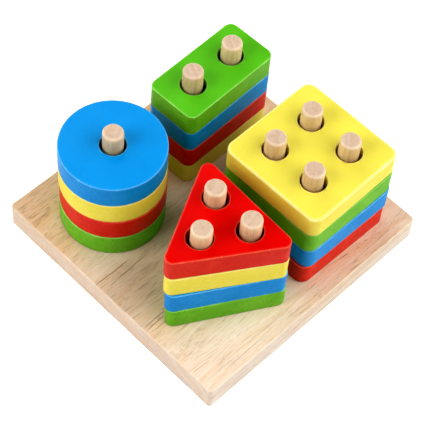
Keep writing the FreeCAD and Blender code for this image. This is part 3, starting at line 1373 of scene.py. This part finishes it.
@dataclass
class Studio:
    """A pale floor in a white tent, soft lights, and the camera."""

    azimuth: float = -49.8
    elevation: float = 56.27
    roll: float = 6.24
    distance: float = 793.3 * MM
    target: tuple[float, float, float] = (-4.36 * MM, -2.74 * MM, 21.75 * MM)
    lens: float = 135.46
    nearest: float = 0.01
    furthest: float = 20.0
    floor_side: float = 6.0
    floor_drop: float = 0.05 * MM
    floor_colour: Colour = (0.93, 0.93, 0.93)
    floor_roughness: float = 0.9
    floor_specular: float = 0.1
    floor_glow: tuple[float, float] = (0.45, 1.1)
    glow_distances: tuple[float, float] = (0.25, 1.2)
    tent_glow: float = 1.1
    tent_strength: float = 0.025
    contrast_gamma: float = 0.8
    black_level: float = 0.008
    light_distance: float = 1.2
    softboxes: tuple[Softbox, ...] = (
        Softbox("left", -112.0, 34.0, 0.9, 12.2),
        Softbox("right", 58.0, 38.0, 0.95, 7.9),
        Softbox("front", 3.0, 46.0, 0.95, 7.0),
        Softbox("low_right", 30.0, 12.0, 0.6, 3.2),
        Softbox("back", 165.0, 38.0, 1.0, 6.9),
    )

    def build(self) -> None:
        """Builds the floor, the tent, the lights and the camera."""
        self._floor()
        self._tent()
        for box in self.softboxes:
            self._light(box)
        self._camera()
        view = bpy.context.scene.view_settings
        view.view_transform = "Standard"
        view.gamma = self.contrast_gamma
        view.use_curve_mapping = True
        view.curve_mapping.black_level = (self.black_level,) * 3
        view.curve_mapping.update()

    def _floor(self) -> None:
        """Lays a wide pale floor just under the board."""
        mesh = bpy.data.meshes.new("studio_floor")
        half = self.floor_side / 2
        corners = [(x, y, -self.floor_drop) for x, y in box_corners(half, half)]
        mesh.from_pydata(corners, [], [(0, 1, 2, 3)])
        floor = bpy.data.objects.new("studio_floor", mesh)
        bpy.context.scene.collection.objects.link(floor)
        material, w, shader = start_material("pale_floor")
        # The camera sees the floor brighter than it lights the toy, the more so further away, so
        # that it runs into the white surround.
        away = w.length(w.add("ShaderNodeTexCoord").outputs["Object"])
        seen = w.add("ShaderNodeLightPath").outputs["Is Camera Ray"]
        glow = w.remap(away, *self.glow_distances, *self.floor_glow)
        w.fill(shader, {
            "Base Color": opaque(self.floor_colour),
            "Roughness": self.floor_roughness,
            "Specular IOR Level": self.floor_specular,
            "Emission Color": opaque(WHITE),
            "Emission Strength": w.math("MULTIPLY", seen, glow),
        })
        mesh.materials.append(material)
        LOG.info("studio_floor: %.1f m square", self.floor_side)

    def _tent(self) -> None:
        """Puts up a surround that lights the toy faintly and looks white behind it."""
        world = bpy.data.worlds.new("tent")
        world.use_nodes = True
        w = Wiring(world.node_tree)
        seen = w.add("ShaderNodeLightPath").outputs["Is Camera Ray"]
        strength = w.math("MULTIPLY_ADD", seen, self.tent_glow, self.tent_strength)
        w.fill(world.node_tree.nodes["Background"], {"Color": opaque(WHITE), "Strength": strength})
        bpy.context.scene.world = world

    def _light(self, box: Softbox) -> None:
        """Hangs one softbox.

        Args:
            box: The softbox.
        """
        data = bpy.data.lights.new(box.name, "AREA")
        data.shape = "SQUARE"
        data.size = box.side
        data.energy = box.watts
        light = bpy.data.objects.new(box.name, data)
        away = direction(box.azimuth, box.elevation)
        light.location = Vector(self.target) + away * self.light_distance
        light.rotation_mode = "QUATERNION"
        light.rotation_quaternion = (-away).to_track_quat("-Z", "Y")
        bpy.context.scene.collection.objects.link(light)

    def _camera(self) -> None:
        """Sets the camera at the viewing angle, rolled a little to the left."""
        data = bpy.data.cameras.new("camera")
        data.lens = self.lens
        data.clip_start = self.nearest
        data.clip_end = self.furthest
        camera = bpy.data.objects.new("camera", data)
        back = direction(self.azimuth, self.elevation)
        level = direction(self.azimuth + 90.0, 0.0)
        rise = back.cross(level)
        turn = math.radians(self.roll)
        right = level * math.cos(turn) + rise * math.sin(turn)
        top = rise * math.cos(turn) - level * math.sin(turn)
        pose = Matrix((right, top, back)).transposed().to_4x4()
        pose.translation = Vector(self.target) + back * self.distance
        camera.matrix_world = pose
        bpy.context.scene.collection.objects.link(camera)
        bpy.context.scene.camera = camera


def direction(azimuth: float, elevation: float) -> Vector:
    """The unit vector towards a viewer, whose azimuth in degrees is 0 in front and 90 on the right."""
    a, e = math.radians(azimuth), math.radians(elevation)
    return Vector((math.sin(a) * math.cos(e), -math.cos(a) * math.cos(e), math.sin(e)))


# ---- This stacker ----------------------------------------------------------------------------
# Each paint's side colour is partly painted sheen and light on the sides, and its edge colour is partly
# a painted highlight.
PAINTS = (
    Paint(
        Tint.RED,
        colour=(0.72, 0.002, 0.001),
        side=(0.77, 0.034, 0.009),
        deep=(0.52, 0.002, 0.001),
        thin_and_highlight=(0.90, 0.24, 0.14),
    ),
    Paint(
        Tint.YELLOW,
        colour=(0.83, 0.75, 0.125),
        side=(0.86, 0.765, 0.14),
        deep=(0.76, 0.63, 0.055),
        thin_and_highlight=(0.92, 0.88, 0.50),
    ),
    Paint(
        Tint.BLUE,
        colour=(0.0, 0.335, 0.75),
        side=(0.007, 0.34, 0.75),
        deep=(0.0, 0.21, 0.52),
        thin_and_highlight=(0.28, 0.62, 0.92),
    ),
    Paint(
        Tint.GREEN,
        colour=(0.13, 0.53, 0.018),
        side=(0.24, 0.56, 0.036),
        deep=(0.07, 0.36, 0.006),
        thin_and_highlight=(0.48, 0.80, 0.26),
    ),
)

BOARD_WOOD = BareWood(
    name="board_hardwood",
    grain=Grain.ALONG_X,
    pale=(0.90, 0.76, 0.635),
    tan=(0.735, 0.445, 0.195),
    pore=(0.33, 0.165, 0.075),
    end=(0.73, 0.64, 0.57),
    # The board's rounded edges are painted lighter, partly as a painted highlight.
    rubbed_and_highlight=(0.89, 0.77, 0.66),
    band_width=0.0045,
    pith=(0.0, 0.03, -0.12),
    pore_length=0.013,
    pore_width=0.00024,
    pore_cut=0.625,
    pore_strength=0.7,
    band_strength=0.26,
    edge_highlight_and_rub=0.2,
    # Painted shade on the board's long edges.
    flank_shade_tint=(0.88, 0.935, 1.0),
    tone_across=((-0.048, 0.06), (-0.032, 0.15), (-0.018, 0.29), (0.009, 0.10), (0.034, 0.24)),
    streaks=(
        Streak(-0.076, -0.048, 0.0085, 0.02, 0.0005, 0.75),
        Streak(-0.066, -0.040, 0.0045, 0.03, 0.0004, 0.6),
        Streak(-0.073, -0.055, -0.0245, 0.03, 0.0004, 0.8),
        Streak(-0.072, -0.058, -0.0265, 0.03, 0.0004, 0.8),
        Streak(-0.070, -0.052, -0.0290, 0.02, 0.0004, 0.6),
        Streak(-0.073, -0.058, 0.0560, -0.02, 0.0004, 0.55),
        Streak(-0.060, -0.030, -0.0670, 0.02, 0.0004, 0.4),
        Streak(-0.040, -0.016, -0.0640, -0.02, 0.0003, 0.3),
        Streak(-0.018, 0.014, -0.0680, 0.01, 0.0004, 0.3),
        Streak(0.000, 0.034, -0.0650, -0.01, 0.0003, 0.3),
        Streak(0.022, 0.060, -0.0670, 0.01, 0.0004, 0.3),
    ),
)

PEG_WOOD = BareWood(
    name="peg_hardwood",
    grain=Grain.ALONG_Z,
    pale=(0.82, 0.645, 0.40),
    tan=(0.58, 0.395, 0.22),
    pore=(0.31, 0.19, 0.12),
    end=(0.65, 0.505, 0.44),
    # The peg's rounded edges are painted lighter, partly as a painted highlight on the tips.
    rubbed_and_highlight=(0.88, 0.72, 0.56),
    band_width=0.0026,
    pith=(0.0, 0.09, -0.06),
    pore_length=0.005,
    pore_width=0.00035,
    pore_cut=0.65,
    pore_strength=0.42,
    band_strength=0.38,
    ring_strength=0.5,
    end_mottle=0.3,
)


def main() -> None:
    """Builds the toy and its studio in order."""
    logging.basicConfig(level=logging.INFO, format="%(name)s %(message)s")
    effects = Effects()
    builders: tuple[Callable[[], object], ...] = (
        BaseBoard(BOARD_WOOD, effects).build,
        DowelPegs(PEG_WOOD, effects).build,
        BlockStacks(effects, PAINTS).build,
        Studio().build,
    )
    for build in builders:
        build()


if __name__ == "__main__":
    main()
